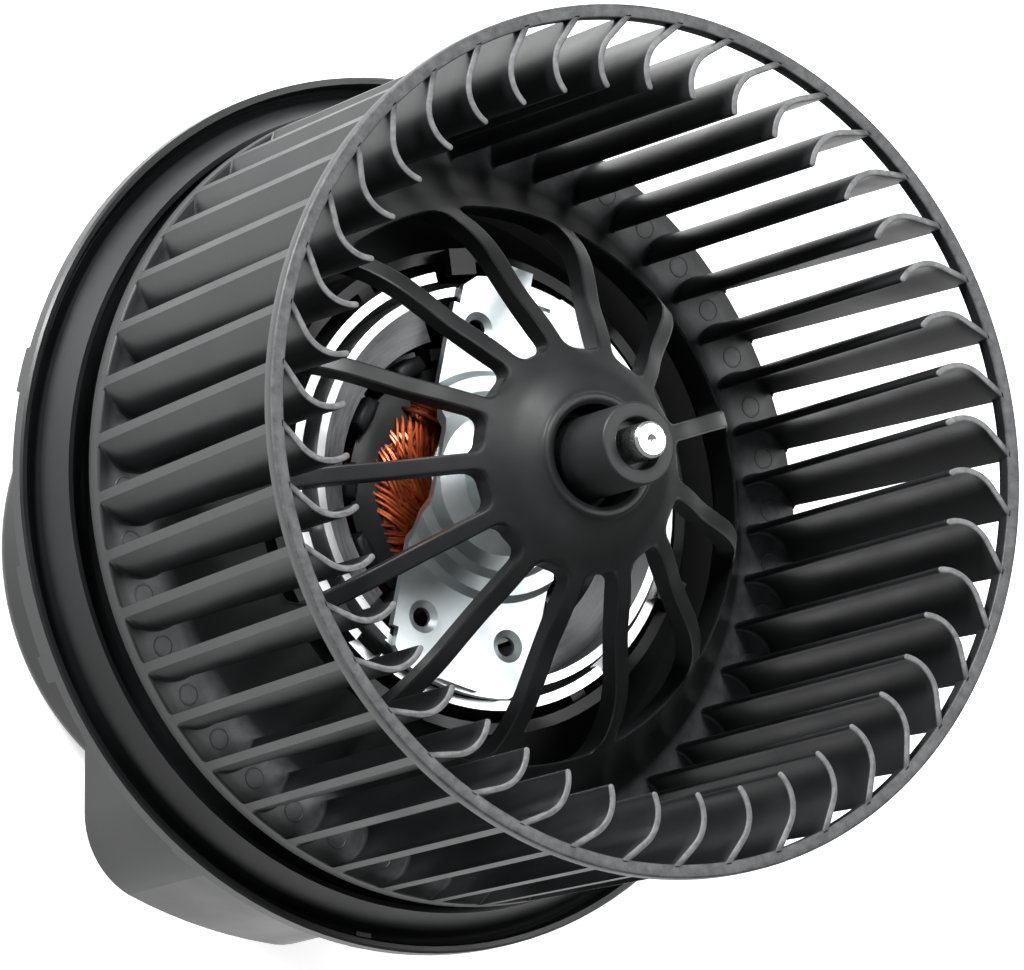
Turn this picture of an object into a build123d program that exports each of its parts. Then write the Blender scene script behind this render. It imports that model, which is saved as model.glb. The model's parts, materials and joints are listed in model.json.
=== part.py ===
from build123d import *
import os
from math import asin, cos, degrees, radians, sin

os.makedirs("parts", exist_ok=True)

# Cabin heater blower: a centrifugal fan wheel pressed on a brushed permanent-magnet
# motor, which sits in a flanged plastic housing.  Millimetres.
# Frame: +Z runs along the shaft towards the open mouth of the wheel, and z = 0 is the
# rear edge of the housing's outer rim, which fits in the heater case.

# --- sizes of the fan wheel ------------------------------------------------
MOUTH_Z = 83.0            # open end of the wheel
RING_R = 75.0             # front ring, outside
RING_WALL = 2.4
RING_H = 3.0
REAR_R = 71.0             # rear rim, outside
REAR_RIM_H = 3.4
PLATE_Z = 18.2            # rear plate, side that carries the blades
PLATE_T = 2.0
BLADES = 44
BLADE_T = 1.15
BLADE_TIP_R = 60.95       # inner end of a blade's centre line
BLADE_TIP_AZ = 0.41       # azimuth of the first blade's inner end, degrees
BLADE_BEND_R = 7.0        # radius of the curled part
BLADE_IN_DEG = 25.0       # slope of the centre line at its inner end
BLADE_OUT_DEG = -51.0     # slope of the straight outer part
MARK_R = 65.8             # ring of ejector marks on the rear plate
MARK_D = 3.6
MARK_DEPTH = 0.25

SPOKES = 13               # between the hub and the bell of the wheel
SPOKE_W = 3.0
SPOKE_AZ = 19.5
WINDOW_R_IN = 19.5        # gap between two spokes, inner and outer end
WINDOW_R_OUT = 48.8
WINDOW_INNER_FILLET = 1.9
WINDOW_OUTER_FILLET = 2.2
SLEEVE_R = 7.2            # sleeve on the shaft, standing in a round recess
SLEEVE_TOP = 78.6
SLEEVE_BOTTOM = 44.0
SHAFT_R = 3.175
COUNTERBORE_R = 4.5
COUNTERBORE_DEPTH = 3.2
RECESS_R = 8.95
RECESS_FLOOR = 57.0
BOSS_R = 11.6
BOSS_TOP = 66.2

# --- sizes of the shaft and armature ---------------------------------------
SHAFT_TOP = 82.7
SHAFT_BOTTOM = -52.4
SLOTS = 12
STACK_R = 26.4            # armature stack
STACK_Z0 = -14.0
STACK_Z1 = 19.0
TOOTH_W = 4.2
POLE_SHOE_T = 2.0
SLOT_SIDE = 2.6            # half distance between the wires on both sides of a tooth
POLE_GAP_DEG = 7.0
CORE_R = 12.5
INSULATOR_T = 1.2
COIL_R = 22.8             # wire overhangs
COIL_Z1 = 27.5
COIL_Z0 = -21.0
COMM_R = 10.5             # commutator
COMM_Z0 = -36.0
COMM_Z1 = -24.0
COMM_WALL = 2.4
COMM_SLOT = 0.7

# --- sizes of the motor ----------------------------------------------------
CAN_R = 35.3
CAN_WALL = 1.5
CAN_TOP = 31.2
BRACKET_Z = 30.0           # underside of the front bracket
CAN_REAR = -44.0
MAGNET_R_IN = 27.2
MAGNET_ARC = 116.0
MAGNET_AZ = 168.0
MAGNET_Z0 = -20.0
MAGNET_Z1 = 26.0
BRACKET_AZ = 78.0
BRACKET_T = 1.5
BRACKET_HALF_W = 14.3
BRACKET_WAIST = 13.0
BRACKET_R = 37.0
BRACKET_HOLE_U = 26.4     # screw holes: along and across the strip
BRACKET_HOLE_V = 8.7
BRACKET_HOLE_R = 1.7
SLOT_U = 34.6             # slots for the can's clinch tabs
TAB_U0 = 33.9
TAB_HALF_W = 3.8
END_TAB_R = 39.3
SLOT_W = 9.4
SLOT_H = 2.1
BEARING_R = 7.5
BEARING_L = 9.0
BEARING_CLEAR = 0.03      # radial running clearance on the shaft
PAD_ROOM = 1.0             # depth of the cup behind the rear bearing
FRONT_BEARING_Z = 36.5
REAR_BEARING_Z = -48.0
DAMPER_R = 36.9           # outside of the rubber sleeve round the can
MOUNT_RING_R = 38.6
MOUNT_RING_TOP = 28.6
MOUNT_RING_BOTTOM = -24.0
RING_JOINT_AZ0 = 66.0
RING_JOINT_AZ1 = 105.0
RING_NOTCHES = (193.0, 232.0, 313.0)

BRUSH_W = 5.0
BRUSH_H = 7.0
BRUSH_L = 12.0
BRUSH_GAP = 0.3
BRUSH_Z = -30.0
HOLDER_GAP = 0.15
HOLDER_T = 0.8
HOLDER_X0 = 13.5
HOLDER_X1 = 31.5
CARD_Z = CAN_REAR
CARD_T = 2.4
CARD_R = 33.2
CARD_R_IN = 13.2
RIVET_R = 1.2
RIVET_AT = 25.0
RIVET_AZ = 35.0

# --- sizes of the housing --------------------------------------------------
RIM_R = 77.5              # outer edge of the flange
RIM_H = 2.9
RIM_ROUND = 0.4
GROOVE_Z = -0.8           # bottom of the groove inside the rim
FLANGE_BACK = -3.0
FOOT_R = 73.6             # foot of the shoulder that stands inside the groove
FOOT_Z = 3.0
DISH_EDGE_R = 71.2        # thin upper edge of the shoulder
DISH_EDGE_Z = 8.4
CASE_R = 45.5             # round casing behind the flange
CASE_WALL = 2.8
COLLAR_R = 42.5           # collar round the motor, inside the wheel
COLLAR_R_IN = 40.5
CASE_END = -63.5
COLLAR_TOP = 26.5
BOX_END = -28.5           # lower end of the cable box
BOX_WALL = 2.4
SOCKET_AT = (-21.0, -57.5)
SOCKET_HALF = (11.0, 5.5)
SOCKET_DEPTH = 14.0
TERMINAL_X = 5.5          # from the socket's middle to each terminal
BLADE_HALF_W = 3.15        # flat terminal, 6.3 wide
CLIP_AZ = 199.5           # locking strips behind the rim
CLIP_R = 76.9
CLIP_GAP = 0.3             # from the rear edge of the rim to a clip
# small tabs behind the rim: two azimuths, outer radius, depth
RIM_TABS = ((163.0, 169.0, 76.9, 2.4), (234.5, 237.5, 76.9, 1.9), (263.7, 266.0, 76.9, 2.6))
RIB_AZ = 33.0             # first of eight ribs that grip the mounting ring
HOOK_AZ = (98.5, 218.5, 338.5)
HOOK_TOP = 31.0
WEB_T = 1.8
WEB_AZ = (22, 68, 112, 158, 302, 338)


def ring(r_in, r_out, z0, z1):
    """Plain round tube about the Z axis."""
    height = z1 - z0
    body = Cylinder(r_out, height) - Cylinder(r_in, height)
    return Pos(0, 0, (z0 + z1) / 2) * body


def disc(radius, z0, z1):
    return Pos(0, 0, (z0 + z1) / 2) * Cylinder(radius, z1 - z0)


def turned(points):
    """Solid of revolution from (radius, z) corners."""
    face = make_face(Polyline(*points, close=True))
    return revolve(Plane.XZ * face, Axis.Z)


def turned_wire(*edges):
    """Solid of revolution from joined lines and curves in (radius, z)."""
    return revolve(Plane.XZ * make_face(Curve() + list(edges)), Axis.Z)


def around(part, azimuth):
    return Rot(0, 0, azimuth) * part


def block(x0, x1, y0, y1, z0, z1):
    body = Box(x1 - x0, y1 - y0, z1 - z0)
    return Pos((x0 + x1) / 2, (y0 + y1) / 2, (z0 + z1) / 2) * body


def fuse(parts):
    first, *others = parts
    return first + others


def sector(r_in, r_out, az0, az1, z0, z1):
    """Part of a round tube between two azimuths, less than half a turn apart."""
    reach = r_out * 2
    wedge = make_face(Polyline(
        (0, 0),
        (reach * cos(radians(az0)), reach * sin(radians(az0))),
        (reach * cos(radians(az1)), reach * sin(radians(az1))),
        close=True,
    ))
    return ring(r_in, r_out, z0, z1) & extrude(Pos(0, 0, z0) * wedge, z1 - z0)


# --- fan wheel -------------------------------------------------------------
def blade_outline():
    """Curled inner end, then a straight run out to the front ring."""
    half = BLADE_T / 2
    lean = radians(BLADE_IN_DEG)
    tip_x = BLADE_TIP_R
    tip_y = -0.11
    cx = tip_x + BLADE_BEND_R * sin(lean)
    cy = tip_y - BLADE_BEND_R * cos(lean)
    a0 = 90 + BLADE_IN_DEG
    a1 = 90 + BLADE_OUT_DEG
    outer = CenterArc((cx, cy), BLADE_BEND_R + half, a0, a1 - a0)
    inner = CenterArc((cx, cy), BLADE_BEND_R - half, a0, a1 - a0)
    run = Vector(cos(radians(BLADE_OUT_DEG)), sin(radians(BLADE_OUT_DEG))) * 6.0
    outer_end = outer @ 1 + run
    inner_end = inner @ 1 + run
    nose = Vector(tip_x, tip_y) - Vector(cos(lean), sin(lean)) * half
    tip = ThreePointArc(inner @ 0, nose, outer @ 0)
    return make_face(Curve() + [
        outer, Line(outer @ 1, outer_end), Line(outer_end, inner_end),
        Line(inner_end, inner @ 1), inner, tip,
    ])


def blade_ring():
    """All the blades, trimmed to the slight taper between the two rims."""
    z0 = PLATE_Z - PLATE_T / 2
    height = MOUTH_Z - z0
    blade = extrude(Pos(0, 0, z0) * blade_outline(), height)
    ring_inside = RING_R - RING_WALL
    envelope = Pos(0, 0, z0 + height / 2) * Cone(REAR_R - 0.05, ring_inside + 0.4, height)
    blade = blade & envelope
    step = 360 / BLADES
    return [around(blade, BLADE_TIP_AZ + k * step) for k in range(BLADES)]


def window_cutter():
    """Gap between two spokes, seen along the shaft, with rounded corners."""
    half_pitch = 180 / SPOKES
    half_w = SPOKE_W / 2
    inner_half = half_pitch - degrees(asin(half_w / WINDOW_R_IN))
    outer_half = half_pitch - degrees(asin(half_w / WINDOW_R_OUT))
    outer = CenterArc((0, 0), WINDOW_R_OUT, -outer_half, outer_half * 2)
    inner = CenterArc((0, 0), WINDOW_R_IN, -inner_half, inner_half * 2)
    sides = [Line(outer @ 0, inner @ 0), Line(outer @ 1, inner @ 1)]
    gap = make_face(Curve() + [outer, inner] + sides)
    gap = fillet(gap.vertices().sort_by(Axis.X)[:2], WINDOW_INNER_FILLET)
    gap = fillet(gap.vertices().sort_by(Axis.X)[-2:], WINDOW_OUTER_FILLET)
    return extrude(Pos(0, 0, PLATE_Z) * gap, SLEEVE_TOP - PLATE_Z)


def wheel_shell():
    """Hub sleeve, domed disc, bell and rear plate as one turned body."""
    cup_r = RECESS_R + 2.2
    outside = Spline((19.5, 60.5), (30.0, 52.0), (39.5, 45.6), (44.6, 40.6), (48.8, 33.2),
                     (52.4, 25.8), (56.4, 20.6), (61.0, PLATE_Z), tangents=[(1, -0.8), (1, 0)])
    inside = Spline((60.4, PLATE_Z - PLATE_T), (54.6, 19.2), (50.2, 24.8), (46.2, 32.2),
                    (42.2, 38.2), (37.6, 42.4), (28.6, 48.4), (18.4, 57.2),
                    tangents=[(-1, 0), (-1, 0.8)])
    top = Polyline(
        (SHAFT_R, SLEEVE_BOTTOM), (SHAFT_R, SLEEVE_TOP - COUNTERBORE_DEPTH),
        (COUNTERBORE_R, SLEEVE_TOP - COUNTERBORE_DEPTH), (COUNTERBORE_R, SLEEVE_TOP - 0.3),
        (COUNTERBORE_R + 0.3, SLEEVE_TOP), (SLEEVE_R - 0.4, SLEEVE_TOP),
        (SLEEVE_R, SLEEVE_TOP - 0.4), (SLEEVE_R, RECESS_FLOOR), (RECESS_R, RECESS_FLOOR),
        (RECESS_R, BOSS_TOP - 0.5),
    )
    crown = Spline((RECESS_R, BOSS_TOP - 0.5), (RECESS_R + 0.7, BOSS_TOP), (BOSS_R - 0.9, BOSS_TOP - 0.1),
                   (BOSS_R, BOSS_TOP - 1.2))
    slope = Spline((BOSS_R, BOSS_TOP - 1.2), (15.6, 63.4), (19.5, 60.5),
                   tangents=[(1, -0.3), (1, -0.8)])
    rim = Polyline(
        (61.0, PLATE_Z), (REAR_R, PLATE_Z), (REAR_R, PLATE_Z - REAR_RIM_H),
        (REAR_R - 1.6, PLATE_Z - REAR_RIM_H), (REAR_R - 1.6, PLATE_Z - PLATE_T),
        (60.4, PLATE_Z - PLATE_T),
    )
    under = Polyline(
        (18.4, 57.2), (12.6, 61.0), (cup_r, 60.0), (cup_r, RECESS_FLOOR - 2.6),
        (SLEEVE_R, RECESS_FLOOR - 2.6), (SLEEVE_R, SLEEVE_BOTTOM), (SHAFT_R, SLEEVE_BOTTOM),
    )
    return turned_wire(top, crown, slope, outside, rim, inside, under)


def make_fan_wheel():
    shell = wheel_shell()
    cutter = window_cutter()
    pitch = 360 / SPOKES
    shell = shell - [around(cutter, SPOKE_AZ + (k + 0.5) * pitch) for k in range(SPOKES)]
    mark = disc(MARK_D / 2, PLATE_Z - MARK_DEPTH, PLATE_Z + 1)
    mark = Pos(MARK_R, 0, 0) * mark
    step = 360 / BLADES
    shell = shell - [around(mark, BLADE_TIP_AZ + (k + 0.42) * step) for k in range(BLADES)]
    ring_in = RING_R - RING_WALL
    ring_z = MOUTH_Z - RING_H
    front = turned([(ring_in, ring_z), (RING_R - 0.3, ring_z), (RING_R - 0.3, ring_z + 0.7),
                    (RING_R, ring_z + 0.7), (RING_R, MOUTH_Z), (ring_in, MOUTH_Z)])
    return shell + [front] + blade_ring()


# --- shaft and armature ----------------------------------------------------
def make_shaft():
    shaft = disc(SHAFT_R, SHAFT_BOTTOM, SHAFT_TOP)
    shaft = chamfer(shaft.edges().filter_by(GeomType.CIRCLE), 0.5)
    drill = Pos(0, 0, SHAFT_TOP - 0.45) * Cone(0.0, 0.9, 0.9)
    return shaft - drill


def make_armature_laminations():
    """Twelve-tooth stack with pole shoes."""
    core = disc(CORE_R, STACK_Z0, STACK_Z1)
    tooth = block(CORE_R - 1, STACK_R - POLE_SHOE_T / 2, -TOOTH_W / 2, TOOTH_W / 2, STACK_Z0, STACK_Z1)
    half = (360 / SLOTS - POLE_GAP_DEG) / 2
    shoe = sector(STACK_R - POLE_SHOE_T, STACK_R, -half, half, STACK_Z0, STACK_Z1)
    pitch = 360 / SLOTS
    teeth = [around(part, k * pitch) for k in range(SLOTS) for part in (tooth, shoe)]
    stack = core + teeth
    return stack - disc(SHAFT_R, STACK_Z0 - 1, STACK_Z1 + 1)


def make_insulator(z0):
    """End spider that keeps the wire off the stack."""
    pitch = 360 / SLOTS
    hub = disc(CORE_R, z0, z0 + INSULATOR_T)
    arm = block(CORE_R - 1, STACK_R - 0.8, -TOOTH_W / 2 - 0.3, TOOTH_W / 2 + 0.3, z0, z0 + INSULATOR_T)
    spider = hub + [around(arm, k * pitch) for k in range(SLOTS)]
    return spider - disc(SHAFT_R, z0 - 1, z0 + INSULATOR_T + 1)


def make_armature_windings():
    """Wire bundles: one in each slot, joined by a rounded overhang at each end."""
    pitch = 360 / SLOTS
    top0 = STACK_Z1 + INSULATOR_T
    bottom1 = STACK_Z0 - INSULATOR_T
    front = turned([(8.5, top0), (COIL_R, top0), (COIL_R, top0 + 3.0), (COIL_R - 3.0, COIL_Z1 - 0.8),
                    (COIL_R - 7.0, COIL_Z1), (11.0, COIL_Z1 - 1.5), (8.5, top0 + 3.0)])
    back = turned([(8.5, bottom1), (COIL_R, bottom1), (COIL_R, bottom1 - 2.6), (COIL_R - 4.0, COIL_Z0),
                   (12.5, COIL_Z0), (8.5, bottom1 - 3.0)])
    z0 = bottom1 - 0.5
    z1 = top0 + 0.5
    bar = sector(CORE_R + 1.0, COIL_R - 0.6, -pitch / 2, pitch / 2, z0, z1)
    tooth = block(0, STACK_R, -SLOT_SIDE, SLOT_SIDE, z0 - 1, z1 + 1)
    bar = bar - around(tooth, pitch / 2) - around(tooth, -pitch / 2)
    bars = [around(bar, (k + 0.5) * pitch) for k in range(SLOTS)]
    return fuse([front, back] + bars)


def make_front_spacer():
    """Sleeve between the armature and the front bearing."""
    return ring(SHAFT_R, 5.4, STACK_Z1 + INSULATOR_T, FRONT_BEARING_Z - BEARING_L / 2 - 0.8)


def make_front_thrust_washer():
    z1 = FRONT_BEARING_Z - BEARING_L / 2
    return ring(SHAFT_R, 5.2, z1 - 0.8, z1 - 0.3)


def make_rear_thrust_washer():
    z0 = REAR_BEARING_Z + BEARING_L / 2
    return ring(SHAFT_R, 5.2, z0 + 0.3, z0 + 0.8)


def make_commutator_core():
    return ring(SHAFT_R, COMM_R - COMM_WALL, COMM_Z0, COMM_Z1)


def make_commutator_segments():
    """Copper bars with risers, parted by slots."""
    pitch = 360 / SLOTS
    bar_half = pitch / 2 - degrees(COMM_SLOT / 2 / COMM_R)
    bar = sector(COMM_R - COMM_WALL, COMM_R, -bar_half, bar_half, COMM_Z0, COMM_Z1)
    riser_half = bar_half * 0.62
    riser = sector(COMM_R - COMM_WALL, COMM_R + 2.2, -riser_half, riser_half, COMM_Z1 - 1.6, COMM_Z1)
    segment = bar + riser
    return Compound([around(segment, (k + 0.5) * pitch) for k in range(SLOTS)])


# --- motor -----------------------------------------------------------------
def make_motor_can():
    """Drawn steel can, open at the front, with a cup for the rear bearing."""
    wall = CAN_WALL
    cup_top = REAR_BEARING_Z + BEARING_L / 2
    cup_end = REAR_BEARING_Z - BEARING_L / 2 - PAD_ROOM
    body = turned([
        (CAN_R, CAN_TOP), (CAN_R, CAN_REAR - wall), (BEARING_R + wall, CAN_REAR - wall),
        (BEARING_R + wall, cup_end - wall), (0, cup_end - wall), (0, cup_end),
        (BEARING_R, cup_end), (BEARING_R, cup_top), (BEARING_R + 1.2, CAN_REAR),
        (CAN_R - wall, CAN_REAR), (CAN_R - wall, CAN_TOP),
    ])
    # the edge is cut away under the bracket, except for a clinch tab at each end
    plate_top = BRACKET_Z + BRACKET_T
    cut = block(20, 40, -BRACKET_HALF_W - 0.2, BRACKET_HALF_W + 0.2, BRACKET_Z, CAN_TOP + 1)
    post = block(TAB_U0, TAB_U0 + 1.1, -TAB_HALF_W, TAB_HALF_W, BRACKET_Z - 3, plate_top + 1.0)
    fold = block(TAB_U0, TAB_U0 + 2.4, -TAB_HALF_W - 0.3, TAB_HALF_W + 0.3, plate_top, plate_top + 1.0)
    tail = Pos(0, 0, CAN_REAR) * Cylinder(RIVET_R, 6)
    ends = (0, 180)
    body = body - [around(cut, BRACKET_AZ + turn) for turn in ends]
    body = body - [around(Pos(RIVET_AT, 0, 0) * tail, RIVET_AZ + turn) for turn in ends]
    return body + [around(post + fold, BRACKET_AZ + turn) for turn in ends]


def bracket_outline():
    """Strip across the can with a shallow waist, stepped corners and round ends."""
    u_end = 33.0
    u_waist = 9.0
    outline = Polyline(
        (u_end, -BRACKET_HALF_W + 1.2), (u_end - 3.4, -BRACKET_HALF_W + 1.2),
        (u_end - 3.4, -BRACKET_HALF_W), (u_waist + 4, -BRACKET_HALF_W),
        (u_waist - 3, -BRACKET_WAIST), (-u_waist + 3, -BRACKET_WAIST),
        (-u_waist - 4, -BRACKET_HALF_W), (-u_end + 3.4, -BRACKET_HALF_W),
        (-u_end + 3.4, -BRACKET_HALF_W + 1.2), (-u_end, -BRACKET_HALF_W + 1.2),
        (-BRACKET_R - 1, -BRACKET_HALF_W + 6), (-BRACKET_R - 1, BRACKET_HALF_W - 6),
        (-u_end, BRACKET_HALF_W - 1.2), (-u_end + 3.4, BRACKET_HALF_W - 1.2),
        (-u_end + 3.4, BRACKET_HALF_W), (-u_waist - 4, BRACKET_HALF_W),
        (-u_waist + 3, BRACKET_WAIST), (u_waist - 3, BRACKET_WAIST),
        (u_waist + 4, BRACKET_HALF_W), (u_end - 3.4, BRACKET_HALF_W),
        (u_end - 3.4, BRACKET_HALF_W - 1.2), (u_end, BRACKET_HALF_W - 1.2),
        (BRACKET_R + 1, BRACKET_HALF_W - 6), (BRACKET_R + 1, -BRACKET_HALF_W + 6),
        close=True,
    )
    return make_face(outline) & Circle(BRACKET_R)


def make_front_bearing_bracket():
    """Pressed strip with a stepped dome that holds the front bearing."""
    t = BRACKET_T
    z0 = BRACKET_Z
    step = 1.6
    cup = BEARING_R + t
    cup_top = FRONT_BEARING_Z + BEARING_L / 2
    dome = turned([
        (40, z0), (40, z0 + t), (20.4, z0 + t), (19.2, z0 + t + step), (16.6, z0 + t + step),
        (15.4, z0 + t + step * 2), (12.6, z0 + t + step * 2), (cup, z0 + t + step * 3.4),
        (cup, cup_top + t), (4.6, cup_top + t), (4.6, cup_top), (BEARING_R, cup_top),
        (BEARING_R, z0 + step * 3.4), (11.8, z0 + step * 2), (14.6, z0 + step * 2),
        (15.8, z0 + step), (18.4, z0 + step), (19.6, z0),
    ])
    outline = extrude(Pos(0, 0, z0 - 2) * bracket_outline(), cup_top - z0 + 6)
    plate = dome & outline
    tools = []
    for u in (-BRACKET_HOLE_U, BRACKET_HOLE_U):
        for v in (-BRACKET_HOLE_V, BRACKET_HOLE_V):
            hole = Cylinder(BRACKET_HOLE_R, 6)
            sink = Pos(0, 0, t / 2 - 0.3) * Cone(BRACKET_HOLE_R, BRACKET_HOLE_R + 1.3, 0.7)
            tools.append(Pos(u, v, z0 + t / 2) * (hole + sink))
    for side in (-1, 1):
        tools.append(Pos(side * SLOT_U, 0, z0) * Box(SLOT_H, SLOT_W, 6))
    end_tab = block(BRACKET_R - 2, END_TAB_R, 0, 7.6, z0, z0 + t)
    return around(plate - tools + end_tab, BRACKET_AZ)


def bearing(z):
    """Sintered bush with a small crown."""
    half = BEARING_L / 2
    bore = SHAFT_R + BEARING_CLEAR
    return Pos(0, 0, z) * turned([
        (bore, -half), (BEARING_R - 0.8, -half), (BEARING_R, -half + 0.8),
        (BEARING_R, half - 0.8), (BEARING_R - 0.8, half), (bore, half),
    ])


def make_front_bearing_retainer():
    """Dished spring washer that holds the front bearing up in its cup."""
    z = FRONT_BEARING_Z - BEARING_L / 2
    under = BRACKET_Z + 3.2
    return turned([(5.8, z - 0.6), (8.4, z - 0.6), (12.1, under - 0.6), (13.4, under - 0.6),
                   (13.4, under), (11.9, under), (8.2, z), (5.8, z)])


def make_rear_bearing_retainer():
    """Spring washer pressed in above the rear bearing."""
    z = REAR_BEARING_Z + BEARING_L / 2
    return turned([(5.8, z), (8.0, z), (10.4, CAN_REAR), (12.6, CAN_REAR), (12.6, CAN_REAR + 0.6),
                   (10.2, CAN_REAR + 0.6), (7.8, z + 0.6), (5.8, z + 0.6)])


def make_thrust_pad():
    """Plastic pad in the bottom of the cup, just clear of the shaft's end."""
    z0 = REAR_BEARING_Z - BEARING_L / 2 - PAD_ROOM
    return disc(5.0, z0, SHAFT_BOTTOM - 0.3)


def magnet(azimuth):
    half = MAGNET_ARC / 2
    left = sector(MAGNET_R_IN, CAN_R - CAN_WALL, -half, 0, MAGNET_Z0, MAGNET_Z1)
    right = sector(MAGNET_R_IN, CAN_R - CAN_WALL, 0, half, MAGNET_Z0, MAGNET_Z1)
    return around(left + right, azimuth)


def magnet_clip(azimuth):
    """Bent strip spring that wedges the two magnets apart."""
    r_out = CAN_R - CAN_WALL
    gap = (180 - MAGNET_ARC) / 2
    back = sector(r_out - 0.8, r_out, -gap + 1.6, gap - 1.6, -12, 22)
    ends = [sector(r_out - 5.0, r_out, a, a + 1.5, -12, 22) for a in (-gap + 0.1, gap - 1.6)]
    return around(back + ends, azimuth)


def make_damper_ring():
    """Rubber sleeve between the can and the ring that carries it."""
    return ring(CAN_R, DAMPER_R, MOUNT_RING_BOTTOM + 1, MOUNT_RING_TOP - 4.0)


def make_mounting_ring():
    """Rolled steel strip, open at its joint, with locating notches in the front edge."""
    body = ring(DAMPER_R, MOUNT_RING_R, MOUNT_RING_BOTTOM, MOUNT_RING_TOP)
    joint = sector(DAMPER_R - 2, MOUNT_RING_R + 2, RING_JOINT_AZ0, RING_JOINT_AZ1,
                   MOUNT_RING_BOTTOM - 1, MOUNT_RING_TOP + 1)
    notch = block(DAMPER_R - 2, MOUNT_RING_R + 2, -2.6, 2.6, MOUNT_RING_TOP - 2.6, MOUNT_RING_TOP + 1)
    return body - joint - [around(notch, azimuth) for azimuth in RING_NOTCHES]


# --- brush gear ------------------------------------------------------------
def brush_start():
    return COMM_R + BRUSH_GAP


def make_brush(side):
    x0 = brush_start()
    half_w = BRUSH_W / 2
    half_h = BRUSH_H / 2
    body = block(x0 - 1.5, x0 + BRUSH_L, -half_w, half_w, BRUSH_Z - half_h, BRUSH_Z + half_h)
    body = body - disc(COMM_R + BRUSH_GAP, BRUSH_Z - BRUSH_H, BRUSH_Z + BRUSH_H)
    return around(body, side * 180)


def make_brush_holder(side):
    """Square brass tube on the brush card, closed at its outer end."""
    half_w = BRUSH_W / 2 + HOLDER_GAP
    half_h = BRUSH_H / 2 + HOLDER_GAP
    z = BRUSH_Z
    outer = block(HOLDER_X0, HOLDER_X1, -half_w - HOLDER_T, half_w + HOLDER_T,
                  z - half_h - HOLDER_T, z + half_h + HOLDER_T)
    inner = block(HOLDER_X0 - 1, HOLDER_X1 - HOLDER_T, -half_w, half_w, z - half_h, z + half_h)
    foot = block(HOLDER_X0 + 4, HOLDER_X1 - 4, -1.5, 1.5, CARD_Z + CARD_T, z - half_h - HOLDER_T)
    return around(outer - inner + foot, side * 180)


def make_brush_spring(side):
    """Coil spring behind the brush."""
    x0 = brush_start() + BRUSH_L
    length = HOLDER_X1 - HOLDER_T - x0
    wire_r = 0.28
    radius = 1.7
    turns = 5
    helix = Helix(pitch=(length - 2 * wire_r) / turns, height=length - 2 * wire_r, radius=radius)
    start = helix @ 0
    profile = Plane(origin=start, z_dir=helix % 0) * Circle(wire_r)
    coil = sweep(profile, path=helix, is_frenet=True)
    coil = Pos(x0 + wire_r, 0, BRUSH_Z) * (Rot(0, 90, 0) * coil)
    return around(coil, side * 180)


def make_brush_card():
    """Moulded plate across the rear of the can."""
    card = ring(CARD_R_IN, CARD_R, CARD_Z, CARD_Z + CARD_T)
    tail = Pos(RIVET_AT, 0, CARD_Z) * Cylinder(RIVET_R, 6)
    window = block(17, 27, -14, -8, CARD_Z - 1, CARD_Z + CARD_T + 1)
    cuts = [around(tail, RIVET_AZ), around(tail, RIVET_AZ + 180), window, around(window, 180)]
    return card - cuts


def make_choke_coils():
    """Two wire-wound ferrite rods of the noise filter, across the card."""
    z = CARD_Z + CARD_T
    pitch = 1.2
    rod = Cylinder(1.6, 13) + Cylinder(2.2, 10.6)
    turns = [Pos(0, 0, (k - 4) * pitch) * Cylinder(2.6, 0.9) for k in range(9)]
    coil = Rot(0, 90, 0) * (rod + turns)
    feet = [block(x - 0.5, x + 0.5, -1.2, 1.2, -2.7, 0) for x in (-5.9, 5.9)]
    return Compound([Pos(0, side * 24, z + 2.7) * (coil + feet) for side in (-1, 1)])


def make_card_rivets():
    """Two rivets that hold the brush card to the can's end wall."""
    outside = CAN_REAR - CAN_WALL
    top = CARD_Z + CARD_T
    rivet = disc(RIVET_R, outside, top) + disc(RIVET_R * 1.8, top, top + 0.8)
    rivet = rivet + disc(RIVET_R * 1.8, outside - 0.8, outside)
    return Compound([around(Pos(RIVET_AT, 0, 0) * rivet, RIVET_AZ + turn) for turn in (0, 180)])


# --- housing ---------------------------------------------------------------
def dish():
    """Outer lip, groove, shoulder and the dish floor around the motor."""
    neck = COLLAR_R
    lip_in = RIM_R - 1.2
    return turned([
        (RIM_R, 0), (RIM_R, RIM_H - RIM_ROUND), (RIM_R - RIM_ROUND, RIM_H), (lip_in, RIM_H),
        (lip_in - 0.4, RIM_H - 0.6), (lip_in - 0.5, 0.3), (lip_in - 0.9, -0.5), (75.0, GROOVE_Z),
        (74.5, -0.5), (74.2, 0.2), (FOOT_R, FOOT_Z), (DISH_EDGE_R, DISH_EDGE_Z),
        (DISH_EDGE_R - 0.9, DISH_EDGE_Z), (69.2, 5.2), (66.2, 5.0), (54.0, 8.0), (neck - 1, 9.4),
        (neck - 1, 6.4), (54.0, 5.2), (66.6, 2.6), (70.2, -1.2), (72.5, FLANGE_BACK),
        (74.8, FLANGE_BACK), (RIM_R - 1.1, -1.2),
    ])


def casing():
    """Round casing behind the dish, with a rounded closed end and a narrower collar."""
    corner = 4.0
    inner = CASE_R - CASE_WALL
    floor = CASE_END + CASE_WALL
    wall = Polyline((inner, floor), (inner, 0), (COLLAR_R_IN, 2.0), (COLLAR_R_IN, COLLAR_TOP),
                    (COLLAR_R, COLLAR_TOP), (COLLAR_R, 6.0), (CASE_R, 5.0), (CASE_R, CASE_END + corner))
    bend = CenterArc((CASE_R - corner, CASE_END + corner), corner, 0, -90)
    base = Polyline((CASE_R - corner, CASE_END), (0, CASE_END), (0, floor), (inner, floor))
    return turned_wire(wall, bend, base)


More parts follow.
